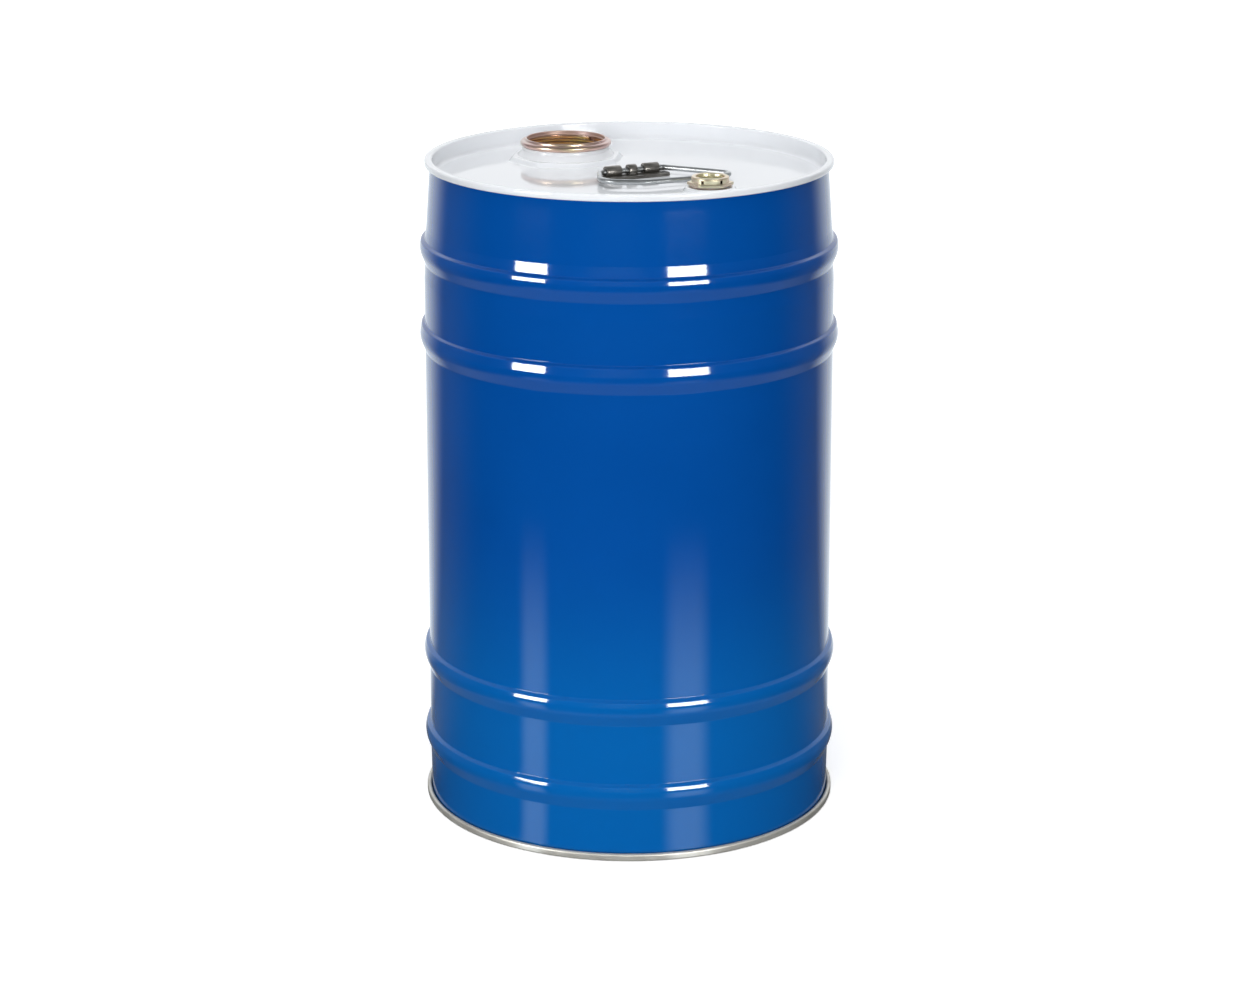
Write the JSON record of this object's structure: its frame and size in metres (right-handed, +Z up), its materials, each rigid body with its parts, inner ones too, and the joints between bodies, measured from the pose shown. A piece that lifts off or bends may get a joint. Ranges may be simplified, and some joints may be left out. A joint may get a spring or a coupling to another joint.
{
  "type": "steel drum",
  "caption": "Tight-head steel drum with rolled beads, necked top, threaded pouring flange, vent plug and folding wire bail handle.",
  "frame": {"origin": "centre of the plane the bottom chime stands on", "axes": "+Z up along the drum axis; -Y is the front, with the vent plug front right and the pouring flange back left; the welded side seam is at +Y"},
  "size_m": [0.308, 0.3083, 0.4883],
  "materials": {
    "blue_paint": "gloss",
    "white_enamel": "gloss",
    "tinned_steel": "satin",
    "yellow_zinc": "gloss",
    "pale_zinc": "satin",
    "dark_steel": "satin",
    "bright_zinc": "gloss",
    "black_rubber": "matte",
    "natural_plastic": "satin",
    "seam_compound": "matte"
  },
  "bodies": {
    "drum": {"body_shell": "blue_paint", "side_seam_weld": "blue_paint", "top_head": "white_enamel", "bottom_head": "tinned_steel", "top_seam_compound": "seam_compound", "bottom_seam_compound": "seam_compound", "bung_flange": "yellow_zinc", "bung_flange_gasket": "black_rubber", "vent_flange": "yellow_zinc", "vent_flange_gasket": "black_rubber", "handle_bracket": "dark_steel", "bracket_welds": "dark_steel"},
    "bail": {"bail_handle": "bright_zinc"},
    "vent_gasket": {"vent_plug_gasket": "natural_plastic"},
    "vent_plug": {"vent_plug": "pale_zinc"}
  },
  "joints": [
    {"name": "bail_hinge", "type": "hinge", "parent": "drum", "child": "bail", "pos_m": [0.0016, -0.0111, 0.4767], "axis": [-0.8988, -0.4384, 0], "range_deg": [0, 160]},
    {"name": "vent_gasket_lift", "type": "slide", "parent": "drum", "child": "vent_gasket", "axis": [0, 0, 1], "range_m": [0, 0.00907]},
    {"name": "vent_plug_turn", "type": "hinge", "parent": "vent_gasket", "child": "vent_plug", "pos_m": [0.057, -0.0663, 0.4766], "axis": [0, 0, 1], "range_deg": [0, 1800]}
  ],
  "couplings": [
    {"joint": "vent_plug_turn", "follows": "vent_gasket_lift", "rad_per_m": 3463.2}
  ]
}
